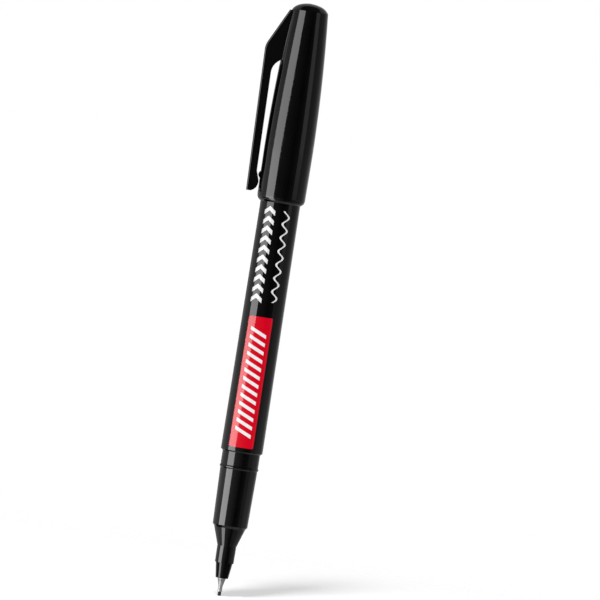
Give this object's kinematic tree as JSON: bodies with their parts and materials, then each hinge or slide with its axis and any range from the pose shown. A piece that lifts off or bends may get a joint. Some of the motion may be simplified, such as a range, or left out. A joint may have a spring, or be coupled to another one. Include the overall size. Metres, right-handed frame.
{
  "type": "fineliner pen",
  "caption": "Slim black fineliner pen with a domed clip cap pushed onto its tail, a tapered grip section and a fibre point in a metal sleeve.",
  "frame": {"origin": "the writing point, on the pen's axis", "axes": "+Z along the pen from the writing point to the top of the posted cap; -X towards the clip; the picture looks along +Y"},
  "size_m": [0.016, 0.0124, 0.1498],
  "materials": {
    "barrel_plastic": "glossy black moulding, printed",
    "plug_plastic": "glossy black moulding",
    "section_plastic": "glossy black moulding",
    "holder_plastic": "satin black moulding",
    "sleeve_metal": "turned stainless steel",
    "nib_fibre": "bonded acrylic fibre wet with black ink",
    "reservoir_fibre": "bonded polyester fibre soaked with black ink",
    "wrap_film": "clear plastic film",
    "cap_plastic": "glossy black moulding",
    "liner_plastic": "natural polyethylene"
  },
  "bodies": {
    "pen_body": {"barrel": "barrel_plastic", "tail_plug": "plug_plastic", "grip_section": "section_plastic", "nib_holder": "holder_plastic", "nib_sleeve": "sleeve_metal", "fibre_nib": "nib_fibre", "ink_reservoir": "reservoir_fibre", "reservoir_wrap": "wrap_film"},
    "cap_liner": {"inner_cap": "liner_plastic"},
    "cap": {"cap_shell": "cap_plastic"}
  },
  "joints": [
    {"name": "cap_pull", "type": "slide", "parent": "pen_body", "child": "cap_liner", "axis": [0, 0, 1], "range_m": [0, 0.03]},
    {"name": "cap_turn", "type": "hinge", "parent": "cap_liner", "child": "cap", "pos_m": [0, 0, 0.1], "axis": [0, 0, 1], "continuous": true}
  ]
}
